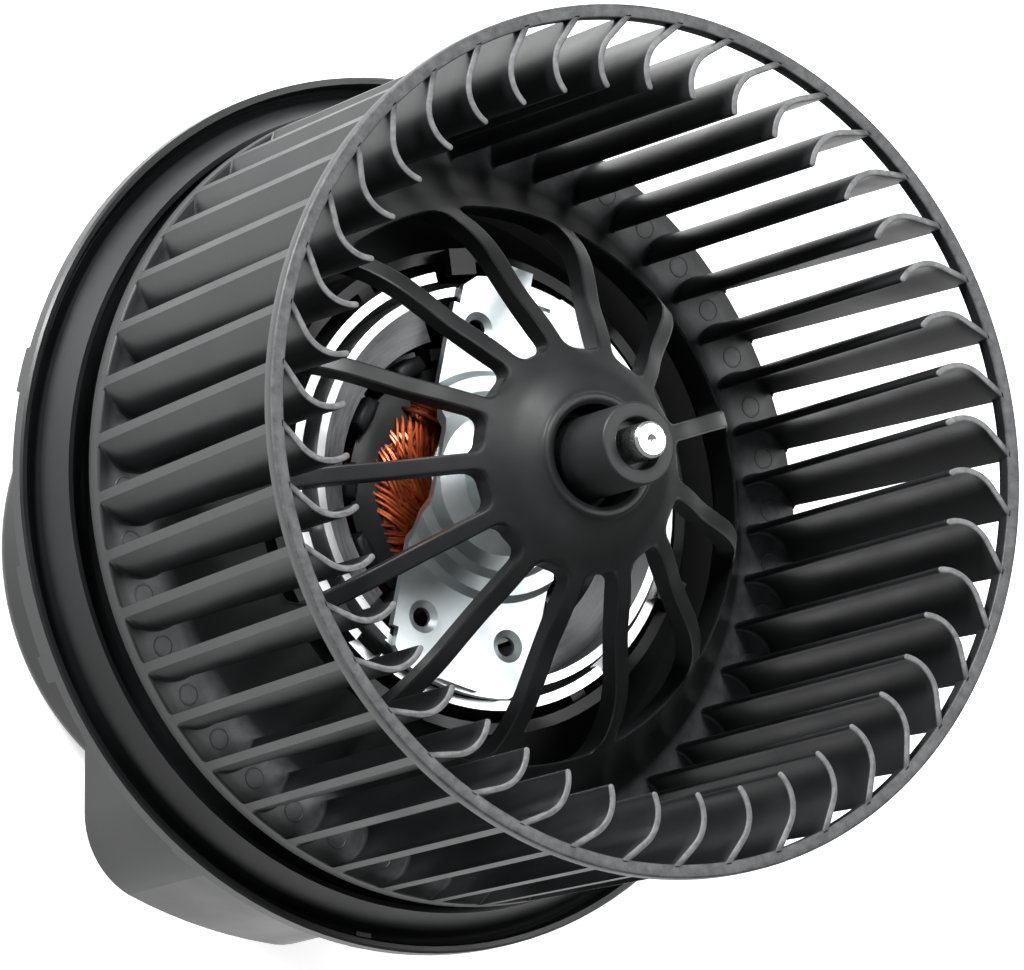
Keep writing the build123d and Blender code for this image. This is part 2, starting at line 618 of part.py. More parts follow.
def motor_ribs():
    """Ribs that grip the mounting ring, each with a shelf under it, and three snap hooks."""
    wall = CASE_R - CASE_WALL + 0.5
    collar = COLLAR_R_IN + 0.5
    floor = CASE_END + CASE_WALL - 0.5
    upper = block(MOUNT_RING_R, collar, -1.5, 1.5, -2.0, COLLAR_TOP - 2)
    lower = block(MOUNT_RING_R, wall, -1.5, 1.5, floor, -1.0)
    shelf = block(CAN_R + 0.6, wall, -1.5, 1.5, floor, MOUNT_RING_BOTTOM)
    ribs = [around(upper + lower + shelf, RIB_AZ + k * 45) for k in range(8)]
    hook = block(MOUNT_RING_R + 0.3, collar + 1.0, -2.5, 2.5, COLLAR_TOP - 3, HOOK_TOP)
    nose = block(MOUNT_RING_R - 1.2, collar + 1.0, -2.5, 2.5, MOUNT_RING_TOP, HOOK_TOP)
    hooks = [around(hook + nose, azimuth) for azimuth in HOOK_AZ]
    return ribs + hooks


def box_plan(inset):
    """Plan of the cable box: rounded corners and a long side that bulges a little."""
    left = (-46.5, -52.5)
    corner = (-37.6, -66.4)
    low = (-9.5, -72.7)
    right = (6.0, -63.0)
    back = -34.0
    turn = ThreePointArc(left, (-44.2, -60.6), corner)
    side = ThreePointArc(corner, (-23.4, -70.7), low)
    end = ThreePointArc(low, (0.6, -70.2), right)
    rest = Polyline(right, (right[0], back), (left[0], back), left)
    plan = make_face(Curve() + [turn, side, end, rest])
    return offset(plan, amount=-inset) if inset else plan


def cable_box():
    """Open-bottomed box under the flange, moulded with the casing."""
    roof = FLANGE_BACK + 0.6
    ceiling = roof - BOX_WALL
    outside = extrude(Pos(0, 0, BOX_END) * box_plan(0), roof - BOX_END)
    inside = extrude(Pos(0, 0, BOX_END - 1) * box_plan(BOX_WALL), ceiling - BOX_END + 1)
    clear = disc(CASE_R - 0.5, BOX_END - 2, roof + 1)
    return outside - inside - clear + ring(CASE_R - 1, CASE_R, BOX_END, roof)


def rim_clips():
    """Locking strips behind the rim, each ending in a stop, and small tabs."""
    clips = []
    inner = RIM_R - 3.0
    for turn in (0, 120, 240):
        az = CLIP_AZ + turn
        clips.append(sector(inner, CLIP_R - 0.1, az - 7.5, az + 7.5, -2.6, -CLIP_GAP))
        clips.append(sector(inner, CLIP_R, az + 4.5, az + 8.0, -3.5, -CLIP_GAP))
    for az0, az1, reach, depth in RIM_TABS:
        clips.append(sector(inner, reach, az0, az1, -depth, -CLIP_GAP))
    return clips


def dish_ribs():
    """Stiffening webs behind the dish floor."""
    web = make_face(Polyline((CASE_R - 0.5, 7.0), (54.0, 6.0), (71.0, -1.4), (71.0, -2.6),
                             (60.0, -2.6), (CASE_R - 0.5, -16.0), close=True))
    web = extrude(Plane.XZ * web, WEB_T / 2, both=True)
    return [around(web, azimuth) for azimuth in WEB_AZ]


def make_motor_housing():
    body = casing() + dish()
    body = body + dish_ribs() + [cable_box()] + rim_clips()
    return body + motor_ribs()


def make_socket_cover():
    """Plate that closes the cable box, with the recessed socket for the plug."""
    t = 2.0
    plate = extrude(Pos(0, 0, BOX_END) * box_plan(BOX_WALL + 0.05), t)
    plate = plate - disc(CASE_R + 0.1, BOX_END - 1, BOX_END + t + 1)
    sx, sy = SOCKET_AT
    hx, hy = SOCKET_HALF
    wall = 1.6
    top = BOX_END + SOCKET_DEPTH
    shroud = block(sx - hx - wall, sx + hx + wall, sy - hy - wall, sy + hy + wall, BOX_END, top + wall)
    hollow = block(sx - hx, sx + hx, sy - hy, sy + hy, BOX_END - 1, top)
    slits = [block(sx + x - BLADE_HALF_W, sx + x + BLADE_HALF_W, sy - 0.4, sy + 0.4, top - 1, top + 5)
             for x in (-TERMINAL_X, TERMINAL_X)]
    return plate + shroud - hollow - slits


def make_power_terminals():
    """Two flat blades that stand in the socket."""
    sx, sy = SOCKET_AT
    top = BOX_END + SOCKET_DEPTH
    blades = []
    for x in (-TERMINAL_X, TERMINAL_X):
        left = sx + x - BLADE_HALF_W
        blade = block(left, left + BLADE_HALF_W * 2, sy - 0.4, sy + 0.4, BOX_END + 3.0, top + 4.0)
        tips = blade.edges().filter_by(Axis.Y).group_by(Axis.Z)[0]
        blades.append(chamfer(tips, 0.8))
    return Compound(blades)


NODES = {
    "fan_wheel": make_fan_wheel,
    "shaft": make_shaft,
    "armature_laminations": make_armature_laminations,
    "front_insulator": lambda: make_insulator(STACK_Z1),
    "rear_insulator": lambda: make_insulator(STACK_Z0 - INSULATOR_T),
    "armature_windings": make_armature_windings,
    "front_spacer": make_front_spacer,
    "front_thrust_washer": make_front_thrust_washer,
    "rear_thrust_washer": make_rear_thrust_washer,
    "commutator_core": make_commutator_core,
    "commutator_segments": make_commutator_segments,
    "motor_can": make_motor_can,
    "front_bearing_bracket": make_front_bearing_bracket,
    "front_bearing": lambda: bearing(FRONT_BEARING_Z),
    "front_bearing_retainer": make_front_bearing_retainer,
    "rear_bearing": lambda: bearing(REAR_BEARING_Z),
    "rear_bearing_retainer": make_rear_bearing_retainer,
    "thrust_pad": make_thrust_pad,
    "magnet_left": lambda: magnet(MAGNET_AZ),
    "magnet_right": lambda: magnet(MAGNET_AZ + 180),
    "magnet_clip_top": lambda: magnet_clip(MAGNET_AZ - 90),
    "magnet_clip_bottom": lambda: magnet_clip(MAGNET_AZ + 90),
    "damper_ring": make_damper_ring,
    "mounting_ring": make_mounting_ring,
    "brush_1": lambda: make_brush(0),
    "brush_2": lambda: make_brush(1),
    "brush_holder_1": lambda: make_brush_holder(0),
    "brush_holder_2": lambda: make_brush_holder(1),
    "brush_spring_1": lambda: make_brush_spring(0),
    "brush_spring_2": lambda: make_brush_spring(1),
    "brush_card": make_brush_card,
    "choke_coils": make_choke_coils,
    "card_rivets": make_card_rivets,
    "motor_housing": make_motor_housing,
    "socket_cover": make_socket_cover,
    "power_terminals": make_power_terminals,
}

for name, maker in NODES.items():
    export_step(maker(), f"parts/{name}.step")
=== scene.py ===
import json
import math
import random

import bmesh
import bpy
from mathutils import Matrix, Vector


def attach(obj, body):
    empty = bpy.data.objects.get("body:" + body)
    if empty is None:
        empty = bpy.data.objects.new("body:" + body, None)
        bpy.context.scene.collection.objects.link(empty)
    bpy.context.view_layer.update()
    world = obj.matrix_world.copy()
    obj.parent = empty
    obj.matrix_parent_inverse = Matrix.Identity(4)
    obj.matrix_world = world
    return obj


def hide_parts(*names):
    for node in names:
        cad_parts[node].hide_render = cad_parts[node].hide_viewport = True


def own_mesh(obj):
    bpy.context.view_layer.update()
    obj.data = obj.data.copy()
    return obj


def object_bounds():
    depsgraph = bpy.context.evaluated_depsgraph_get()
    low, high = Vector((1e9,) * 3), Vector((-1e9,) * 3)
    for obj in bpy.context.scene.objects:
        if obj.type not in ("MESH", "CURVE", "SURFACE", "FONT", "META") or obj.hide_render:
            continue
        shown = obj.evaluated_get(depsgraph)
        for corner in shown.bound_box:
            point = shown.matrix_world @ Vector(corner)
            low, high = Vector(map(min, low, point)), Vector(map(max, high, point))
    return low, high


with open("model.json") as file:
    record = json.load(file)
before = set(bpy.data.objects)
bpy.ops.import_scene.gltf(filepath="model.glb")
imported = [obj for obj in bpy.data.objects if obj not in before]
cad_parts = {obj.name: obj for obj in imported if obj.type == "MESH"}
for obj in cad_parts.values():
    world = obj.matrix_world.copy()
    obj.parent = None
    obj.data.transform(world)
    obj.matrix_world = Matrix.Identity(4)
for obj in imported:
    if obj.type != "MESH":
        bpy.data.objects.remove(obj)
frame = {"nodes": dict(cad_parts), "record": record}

# Lengths are in millimetres, and in metres where a name ends in _M or a comment says so. The z
# axis is the shaft's line, and z = 0 is the rear edge of the flange's rim.
MM = 0.001
CAD_BOX = [list(corner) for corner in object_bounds()]
NODES = frame["nodes"]


# --- camera ----------------------------------------------------------------
CAMERA_PLACE_M = (-1.0698, -0.3863, 1.7641)
CAMERA_RIGHT = (0.85002, 0.0, 0.52674)
CAMERA_UP = (-0.0983, 0.98245, 0.15856)
LENS = 421.9
SENSOR_WIDTH = 36.0
CLIP_RANGE_M = (0.1, 20.0)


def make_camera():
    cam = bpy.data.cameras.new("camera")
    cam.sensor_fit = "HORIZONTAL"
    cam.sensor_width = SENSOR_WIDTH
    cam.lens = LENS
    cam.clip_start, cam.clip_end = CLIP_RANGE_M
    obj = bpy.data.objects.new("camera", cam)
    right = Vector(CAMERA_RIGHT)
    up = Vector(CAMERA_UP)
    back = right.cross(up)
    rotation = Matrix((right, up, back)).transposed().to_4x4()
    obj.matrix_world = Matrix.Translation(CAMERA_PLACE_M) @ rotation
    bpy.context.scene.collection.objects.link(obj)
    bpy.context.scene.camera = obj


# --- floor and light ---------------------------------------------------------
FLOOR_HALF_M = 3.0
FLOOR_SHADE = 0.93
FLOOR_ROUGH = 0.6
FLOOR_GLOW = 0.6
SKY = 0.36
# name, place and target in metres, width in metres, power in watts
LAMPS = (
    ("left key", (-1.1, 1.0, 0.5), (0, 0, 0.03), 0.45, 44),
    ("top key", (-0.3, 1.0, 1.5), (0, 0, 0.02), 0.6, 26),
    ("front fill", (0.95, 0.35, 1.5), (0, 0, 0.03), 0.9, 13),
)


def make_floor():
    """Pale ground under the casing's end, which gives off a little light itself."""
    mesh = bpy.data.meshes.new("floor")
    z = CAD_BOX[0][2]
    corners = [(-1, -1), (1, -1), (1, 1), (-1, 1)]
    mesh.from_pydata([(x * FLOOR_HALF_M, y * FLOOR_HALF_M, z) for x, y in corners], [], [(0, 1, 2, 3)])
    obj = bpy.data.objects.new("floor", mesh)
    bpy.context.scene.collection.objects.link(obj)
    mat = bpy.data.materials.new("floor")
    mat.use_nodes = True
    bsdf = mat.node_tree.nodes["Principled BSDF"]
    bsdf.inputs["Base Color"].default_value = (FLOOR_SHADE, FLOOR_SHADE, FLOOR_SHADE, 1)
    bsdf.inputs["Roughness"].default_value = FLOOR_ROUGH
    bsdf.inputs["Emission Color"].default_value = (1, 1, 1, 1)
    bsdf.inputs["Emission Strength"].default_value = FLOOR_GLOW
    mesh.materials.append(mat)


def area_light(name, place, target, width, power):
    light = bpy.data.lights.new(name, "AREA")
    light.shape = "DISK"
    light.size = width
    light.energy = power
    obj = bpy.data.objects.new(name, light)
    obj.location = place
    aim = Vector(target) - Vector(place)
    obj.rotation_euler = aim.to_track_quat("-Z", "Y").to_euler()
    bpy.context.scene.collection.objects.link(obj)


def make_lights():
    world = bpy.data.worlds.new("studio")
    world.use_nodes = True
    world.node_tree.nodes["Background"].inputs["Color"].default_value = (1, 1, 1, 1)
    world.node_tree.nodes["Background"].inputs["Strength"].default_value = SKY
    bpy.context.scene.world = world
    bpy.context.scene.view_settings.view_transform = "Standard"
    for lamp in LAMPS:
        area_light(*lamp)


# --- mesh helpers ------------------------------------------------------------
PLAIN_CREASE = 50.0         # degrees above which an edge stays sharp
BLADE_CREASE = 28.0
MARK_CREASE = 20.0


class Shape:
    """Growing list of points and faces."""

    def __init__(self):
        self.verts = []
        self.faces = []

    def add(self, verts, faces):
        base = len(self.verts)
        self.verts.extend(verts)
        self.faces.extend([tuple(base + i for i in face) for face in faces])

    def loft(self, loops):
        """Closed skin over loops with the same number of points, capped at both ends."""
        count = len(loops[0])
        faces = []
        for k in range(len(loops) - 1):
            for i in range(count):
                j = (i + 1) % count
                faces.append((k * count + i, k * count + j, (k + 1) * count + j, (k + 1) * count + i))
        faces.append(tuple(reversed(range(count))))
        last = (len(loops) - 1) * count
        faces.append(tuple(last + i for i in range(count)))
        self.add([p for loop in loops for p in loop], faces)

    def lathe(self, profile, segments):
        """Ring turned from a closed profile of (radius, z) points."""
        verts = []
        for k in range(segments):
            a = 2 * math.pi * k / segments
            verts += [(r * math.cos(a), r * math.sin(a), z) for r, z in profile]
        count = len(profile)
        faces = []
        for k in range(segments):
            n = (k + 1) % segments
            for i in range(count):
                j = (i + 1) % count
                faces.append((k * count + i, n * count + i, n * count + j, k * count + j))
        self.add(verts, faces)


def new_piece(name, shape, body, crease=PLAIN_CREASE):
    """Mesh object made from a shape, riding on a body."""
    mesh = bpy.data.meshes.new(name)
    mesh.from_pydata([(x * MM, y * MM, z * MM) for x, y, z in shape.verts], [], shape.faces)
    mesh.validate()
    work = bmesh.new()
    work.from_mesh(mesh)
    bmesh.ops.recalc_face_normals(work, faces=work.faces)
    work.to_mesh(mesh)
    work.free()
    obj = bpy.data.objects.new(name, mesh)
    bpy.context.scene.collection.objects.link(obj)
    mesh.shade_smooth()
    mesh.set_sharp_from_angle(angle=math.radians(crease))
    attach(obj, body)
    return obj


def turn(points, azimuth):
    """Points turned about the shaft's line by an azimuth in degrees."""
    a = math.radians(azimuth)
    c, s = math.cos(a), math.sin(a)
    return [(x * c - y * s, x * s + y * c, z) for x, y, z in points]


def arc_points(cx, cy, r, start, end, steps):
    """Points along an arc, between two angles in degrees."""
    out = []
    for k in range(steps + 1):
        a = math.radians(start + (end - start) * k / steps)
        out.append((cx + r * math.cos(a), cy + r * math.sin(a)))
    return out


def smooth_path(points, per_span):
    """Catmull-Rom curve through (radius, z) points."""
    out = []
    ends = [points[0]] + list(points) + [points[-1]]
    for k in range(1, len(ends) - 2):
        near = ends[k - 1:k + 3]
        for i in range(per_span):
            t = i / per_span
            out.append(tuple(spline(t, *values) for values in zip(*near)))
    out.append(tuple(points[-1]))
    return out


def spline(t, a, b, c, d):
    """Catmull-Rom value between b and c."""
    bend = 2 * a - 5 * b + 4 * c - d
    twist = 3 * b - 3 * c + d - a
    return 0.5 * (2 * b + (c - a) * t + bend * t * t + twist * t ** 3)


# --- fan wheel: blades -----------------------------------------------------------
MOUTH = 83.0                # height of the wheel's open end
PLATE = 18.2                # front face of the rear plate
RING_OUT = 75.0
RING_IN = 72.6
RING_BACK = 80.0
REAR_OUT = 71.0
BLADES = 44
BLADE_T = 1.15
BLADE_AZ = 0.41
TIP_R = 60.95
TIP_Y = -0.11               # sideways place of a blade's inner end, before it is turned
BEND_R = 7.0
LEAN_IN = 25.0              # heading of a blade at its inner and outer end, degrees from radial
LEAN_OUT = -51.0
INTO_RING = 0.5
ROOT_Z = 17.3
BEND_STEPS = 14
STRAIGHT_STEPS = 4
NOSE_STEPS = 6
# height above the plate, and extra thickness: the fillet at a blade's root
ROOT_FILLET = ((0.0, 0.7), (0.1, 0.42), (0.25, 0.2), (0.45, 0.06), (0.7, 0.0))
PLAIN_HEIGHTS = (30.0, 45.0, 60.0, 72.0, 80.0)
# depth below the mouth, and extra thickness: the rounded front edge
FRONT_EDGE = ((0.3, 0.0), (0.16, -0.06), (0.06, -0.2), (0.0, -0.45))


def blade_side(offset, outer_r):
    """One face of a blade, from the curled inner end out to the given radius."""
    lean = math.radians(LEAN_IN)
    cx = TIP_R + BEND_R * math.sin(lean)
    cy = TIP_Y - BEND_R * math.cos(lean)
    path = arc_points(cx, cy, BEND_R + offset, 90 + LEAN_IN, 90 + LEAN_OUT, BEND_STEPS)
    x0, y0 = path[-1]
    dx, dy = math.cos(math.radians(LEAN_OUT)), math.sin(math.radians(LEAN_OUT))
    b = x0 * dx + y0 * dy
    run = -b + math.sqrt(b * b - (x0 * x0 + y0 * y0) + outer_r * outer_r)
    for k in range(1, STRAIGHT_STEPS + 1):
        path.append((x0 + dx * run * k / STRAIGHT_STEPS, y0 + dy * run * k / STRAIGHT_STEPS))
    return path


def blade_loop(z, outer_r, thickness):
    """Closed outline of a blade at one height: round nose, flush outer edge."""
    half = thickness / 2
    front = blade_side(half, outer_r)
    back = blade_side(-half, outer_r)
    x = (front[0][0] + back[0][0]) / 2
    y = (front[0][1] + back[0][1]) / 2
    nose = arc_points(x, y, half, LEAN_IN + 270, LEAN_IN + 90, NOSE_STEPS)[1:-1]
    return [(px, py, z) for px, py in front + back[::-1] + nose]


def blade_levels():
    """Height and extra thickness of each outline, from the root to the mouth."""
    levels = [(ROOT_Z, ROOT_FILLET[0][1])]
    levels += [(PLATE + rise, extra) for rise, extra in ROOT_FILLET]
    levels += [(z, 0.0) for z in PLAIN_HEIGHTS]
    levels += [(MOUTH - depth, extra) for depth, extra in FRONT_EDGE]
    return levels


def add_blades(shape):
    loops = []
    for z, extra in blade_levels():
        rise = max(0.0, z - PLATE) / (MOUTH - PLATE)
        outer_r = REAR_OUT + (RING_IN + INTO_RING - REAR_OUT) * rise
        loops.append(blade_loop(z, outer_r, BLADE_T + extra))
    for k in range(BLADES):
        azimuth = BLADE_AZ + k * 360 / BLADES
        shape.loft([turn(loop, azimuth) for loop in loops])


def add_front_ring(shape):
    """Ring round the mouth, with a small step behind its front corner."""
    profile = arc_points(RING_IN + 0.3, RING_BACK + 0.3, 0.3, 180, 270, 3)
    profile += arc_points(RING_OUT - 0.6, RING_BACK + 0.3, 0.3, 270, 360, 3)
    profile += [(RING_OUT - 0.3, RING_BACK + 0.7)]
    profile += arc_points(RING_OUT - 0.15, RING_BACK + 0.95, 0.15, 270, 360, 2)
    profile += arc_points(RING_OUT - 0.4, MOUTH - 0.4, 0.4, 0, 90, 4)
    profile += arc_points(RING_IN + 0.3, MOUTH - 0.3, 0.3, 90, 180, 3)
    shape.lathe(profile, BLADES * 6)


MARK_R = 65.8
MARK_SHIFT = 0.42           # place between two blades, as a share of their pitch
MARK_SIDES = 28
# radius and height above the plate, from the foot over the raised edge to the middle
MARK_LINE = ((1.95, -0.2), (1.95, 0.03), (1.87, 0.1), (1.72, 0.1), (1.6, 0.04), (0.4, 0.03))


def add_pin_marks(shape):
    """Round ejector marks on the rear plate, one between each pair of blades."""
    for k in range(BLADES):
        azimuth = math.radians(BLADE_AZ + (k + MARK_SHIFT) * 360 / BLADES)
        cx, cy = MARK_R * math.cos(azimuth), MARK_R * math.sin(azimuth)
        loops = []
        for r, rise in MARK_LINE:
            circle = arc_points(cx, cy, r, 0, 360, MARK_SIDES)[:-1]
            loops.append([(x, y, PLATE + rise) for x, y in circle])
        shape.loft(loops)


# --- fan wheel: body ---------------------------------------------------------------
SPOKES = 13
SPOKE_AZ = 19.5
SPOKE_HALF = 1.5
HUB_R = 19.5
BELL_R = 48.8
FILLET_IN = 1.9             # window corners at the hub and at the bell
FILLET_OUT = 2.2
EDGE = 0.28                 # rounding along a window's edges
SHAFT_R = 3.175
SPOKE_COLS = 8
GAP_COLS = 8
SECTOR_COLS = SPOKE_COLS + GAP_COLS
COLUMNS = SPOKES * SECTOR_COLS
CORNER_ANGLES = (22.5, 45, 67.5, 90)
SPOKE_STEPS = 16
SECTION_STEPS = 6
# front and rear line of the section, from the recess round the sleeve out to the plate
TOP_LINE = (
    (8.95, 65.7), (9.7, 66.2), (10.7, 66.15), (11.6, 65.2), (15.6, 63.3), (19.5, 60.5), (25.0, 56.6),
    (31.0, 51.4), (36.0, 48.0), (39.7, 45.4), (42.4, 42.9), (44.9, 40.0), (47.0, 36.8), (48.8, 33.2),
    (50.4, 29.6), (52.4, 25.8), (54.2, 23.0), (56.4, 20.6), (58.8, 18.9), (61.2, PLATE), (64.0, PLATE))
UNDER_LINE = (
    (11.15, 60.6), (12.6, 60.9), (15.6, 59.2), (18.4, 57.0), (23.0, 53.0), (28.6, 48.6), (33.6, 45.0),
    (37.6, 42.2), (40.4, 39.6), (42.8, 36.8), (45.0, 33.4), (46.8, 30.0), (48.4, 26.8), (50.2, 23.8),
    (52.4, 20.6), (54.8, 18.2), (57.6, 16.7), (60.4, 16.2), (64.0, 16.2))


def corner(distance, fillet):
    """How far a round window corner reaches in, at a distance from the window's end."""
    if distance >= fillet:
        return 0.0
    return fillet - math.sqrt(max(0.0, fillet ** 2 - (fillet - distance) ** 2))


def half_width(r):
    """Half width of a spoke, with rounded window corners."""
    return SPOKE_HALF + corner(r - HUB_R, FILLET_IN) + corner(BELL_R - r, FILLET_OUT)


def window_radii():
    straight = BELL_R - HUB_R - FILLET_IN - FILLET_OUT
    steps = [1 - math.cos(math.radians(a)) for a in CORNER_ANGLES]
    radii = [HUB_R]
    radii += [HUB_R + FILLET_IN * t for t in steps]
    radii += [HUB_R + FILLET_IN + straight * k / SPOKE_STEPS for k in range(1, SPOKE_STEPS)]
    radii += [BELL_R - FILLET_OUT * t for t in reversed(steps)]
    radii.append(BELL_R)
    return radii


def height_on(line, r):
    """Height of a section line at a radius."""
    for (r0, z0), (r1, z1) in zip(line, line[1:]):
        if r0 <= r <= r1:
            return z0 + (z1 - z0) * (r - r0) / (r1 - r0)
    return line[-1][1]


def sleeve_line():
    """Front of the sleeve, with its counterbore, and the recess round it."""
    line = [(SHAFT_R, 60.0), (SHAFT_R, 75.4), (4.3, 75.4)]
    line += arc_points(4.8, 78.3, 0.3, 180, 90, 3)
    line += arc_points(6.8, 78.2, 0.4, 90, 0, 4)
    line += [(7.2, 62.0)]
    line += arc_points(7.9, 57.7, 0.7, 180, 270, 4)
    line += arc_points(8.35, 57.6, 0.6, 270, 360, 4)
    line += [(8.95, 63.0)]
    return line


def rear_rim_line():
    """Edge of the rear plate."""
    line = [(68.4, PLATE)]
    line += arc_points(REAR_OUT - 0.5, PLATE - 0.5, 0.5, 90, 0, 4)
    line += arc_points(REAR_OUT - 0.4, 15.2, 0.4, 0, -90, 4)
    line += [(69.5, 14.8), (69.4, 16.1), (66.0, 16.2)]
    return line


def socket_line():
    """Rear of the hub disc and of the sleeve."""
    return [(11.15, 56.0), (10.6, 54.6), (8.0, 54.4), (7.2, 53.6),
            (7.2, 44.4), (6.8, 44.0), (SHAFT_R, 44.0)]


def body_section():
    """Closed section of the body, and the rows where its front and rear window stretches begin."""
    top = smooth_path(TOP_LINE, SECTION_STEPS)
    under = smooth_path(UNDER_LINE, SECTION_STEPS)
    back = under[::-1]
    radii = window_radii()
    hub_end, bell_end = HUB_R - 0.3, BELL_R + 0.3
    head = sleeve_line() + [p for p in top if p[0] < hub_end]
    over = [(r, height_on(top, r)) for r in radii]
    tail = [p for p in top if p[0] > bell_end] + rear_rim_line() + [p for p in back if p[0] > bell_end]
    below = [(r, height_on(under, r)) for r in reversed(radii)]
    foot = [p for p in back if p[0] < hub_end] + socket_line()
    first_top = len(head)
    first_under = first_top + len(over) + len(tail)
    return head + over + tail + below + foot, (first_top, first_under)


def edge_radius(k, profile, starts, zone):
    """Radius that sets a row's spoke width: its own along the windows, or the nearest end's."""
    first_top, first_under = starts
    if k < first_top or k >= first_under + zone:
        return HUB_R
    if first_top + zone <= k < first_under:
        return BELL_R
    return profile[k][0]


def body_row(r, z, half):
    """Points round the shaft: for each sector the spoke's columns, then the gap's."""
    row = []
    pitch = 360 / SPOKES
    for sector in range(SPOKES):
        centre = SPOKE_AZ + sector * pitch
        angles = [centre - half + 2 * half * c / SPOKE_COLS for c in range(SPOKE_COLS + 1)]
        angles += [centre + half + (pitch - 2 * half) * c / GAP_COLS for c in range(1, GAP_COLS)]
        row += [(r * math.cos(math.radians(a)), r * math.sin(math.radians(a)), z) for a in angles]
    return row


def body_skin(count, starts, zone):
    """Faces between neighbouring rows, left out where the windows are open."""
    faces = []
    for k in range(count):
        n = (k + 1) % count
        through = any(first <= k < first + zone - 1 for first in starts)
        for c in range(COLUMNS):
            if through and c % SECTOR_COLS >= SPOKE_COLS:
                continue
            d = (c + 1) % COLUMNS
            faces.append((k * COLUMNS + c, k * COLUMNS + d, n * COLUMNS + d, n * COLUMNS + c))
    return faces


def window_loop(rows, sector):
    """Point numbers round one window, on one side of the skin."""
    near = sector * SECTOR_COLS + SPOKE_COLS
    far = (near + GAP_COLS) % COLUMNS
    loop = [rows[0] * COLUMNS + (near + c) % COLUMNS for c in range(GAP_COLS)]
    loop += [row * COLUMNS + far for row in rows[:-1]]
    loop += [rows[-1] * COLUMNS + (near + c) % COLUMNS for c in range(GAP_COLS, 0, -1)]
    loop += [row * COLUMNS + near for row in reversed(rows[1:])]
    return loop


def signed_area(points):
    """Area of a closed outline seen from above, negative when it runs clockwise."""
    return sum(p[0] * q[1] - q[0] * p[1] for p, q in zip(points, points[1:] + points[:1])) / 2


def outward_normals(outline):
    """Direction away from the window at each point of its outline."""
    sign = 1 if signed_area(outline) > 0 else -1
    normals = []
    for i in range(len(outline)):
        x0, y0, _ = outline[i - 1]
        x1, y1, _ = outline[(i + 1) % len(outline)]
        size = math.hypot(x1 - x0, y1 - y0)
        normals.append(((y1 - y0) / size * sign, -(x1 - x0) / size * sign))
    return normals


def window_wall(verts, faces, top, under):
    """Side walls of one window, with a narrow rounded edge above and below."""
    count = len(top)
    outward = outward_normals([verts[i] for i in top])
    levels = [top]
    for side, depth in ((top, -EDGE), (top, -EDGE * 2.5), (under, EDGE * 2.5), (under, EDGE)):
        levels.append([len(verts) + i for i in range(count)])
        verts.extend([(verts[k][0], verts[k][1], verts[k][2] + depth) for k in side])
    levels.append(under)
    for loop in (top, under):
        for k, (nx, ny) in zip(loop, outward):
            x, y, z = verts[k]
            verts[k] = (x + nx * EDGE, y + ny * EDGE, z)
    for a, b in zip(levels, levels[1:]):
        for i in range(count):
            j = (i + 1) % count
            faces.append((a[i], a[j], b[j], b[i]))


def add_wheel_body(shape):
    """Sleeve, hub disc, spokes, bell and rear plate as one skin with the windows open."""
    profile, starts = body_section()
    zone = len(window_radii())
    verts = []
    for k, (r, z) in enumerate(profile):
        edge = edge_radius(k, profile, starts, zone)
        verts += body_row(r, z, math.degrees(math.asin(half_width(edge) / edge)))
    faces = body_skin(len(profile), starts, zone)
    top_rows = list(range(starts[0], starts[0] + zone))
    under_rows = list(range(starts[1] + zone - 1, starts[1] - 1, -1))
    for sector in range(SPOKES):
        window_wall(verts, faces, window_loop(top_rows, sector), window_loop(under_rows, sector))
    shape.add(verts, faces)


def make_fan_wheel():
    body, blades, marks = Shape(), Shape(), Shape()
    add_wheel_body(body)
    add_blades(blades)
    add_front_ring(blades)
    add_pin_marks(marks)
    pieces = [
        new_piece("wheel_body", body, "rotor"),
        new_piece("wheel_blades", blades, "rotor", BLADE_CREASE),
        new_piece("wheel_pin_marks", marks, "rotor", MARK_CREASE),
    ]
    for piece in pieces:
        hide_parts("fan_wheel")
    return pieces


# --- armature wires ---------------------------------------------------------
WIRE_R = 0.42
WIRE_SIDES = 7
COILS = 12
COIL_THROW = 150.0          # degrees between the two slots of a coil
LANES = 9
LAYERS = 2
LANE_PITCH = 0.86
LAYER_PITCH = 0.8
NEAR_R = 6.6                # from the shaft's line to the innermost wire
REACH = 19.6                # radius at which a wire goes down into its slot
BOW = 0.8                   # sideways curve of a wire at its middle
AZ_SCATTER = 3.0            # how far wires stray from their places: degrees, then lengths
LANE_SCATTER = 0.2
REACH_SCATTER = 0.5
RISE_SCATTER = 0.12
LAYER_REACH = 0.5
OVERHANG_Z = 20.0
FIRST_COIL_Z = 21.4
COIL_STEP = 0.4
WIRE_STATIONS = (-1.0, -0.97, -0.9, -0.75, -0.5, -0.25, 0.0, 0.25, 0.5, 0.75, 0.9, 0.97, 1.0)
TEETH = 12
CORE_SEGMENTS = 72
FRONT_CORE = ((8.6, 20.3), (22.6, 20.3), (22.8, 21.2), (20.0, 22.6), (9.2, 22.8))
REAR_BUNDLE = ((8.6, -15.3), (22.6, -15.3), (22.8, -18.0), (18.8, -21.0), (12.5, -21.0), (8.6, -18.3))
FINGER_OUTLINE = ((22.9, -3.4), (25.4, -2.9), (25.7, 0.0), (25.4, 2.9), (22.9, 3.4), (22.4, 0.0))
FINGER_MIDDLE = 24.0
FINGER_LEVELS = ((20.2, 0.0), (23.6, 0.0), (24.2, 0.25), (24.4, 0.7))   # height, share narrowed
SLOT_OUTLINE = ((14.0, -0.9), (22.0, -2.9), (22.2, 0.0), (22.0, 2.9), (14.0, 0.9), (13.7, 0.0))
SLOT_ENDS = (-15.3, 20.3)


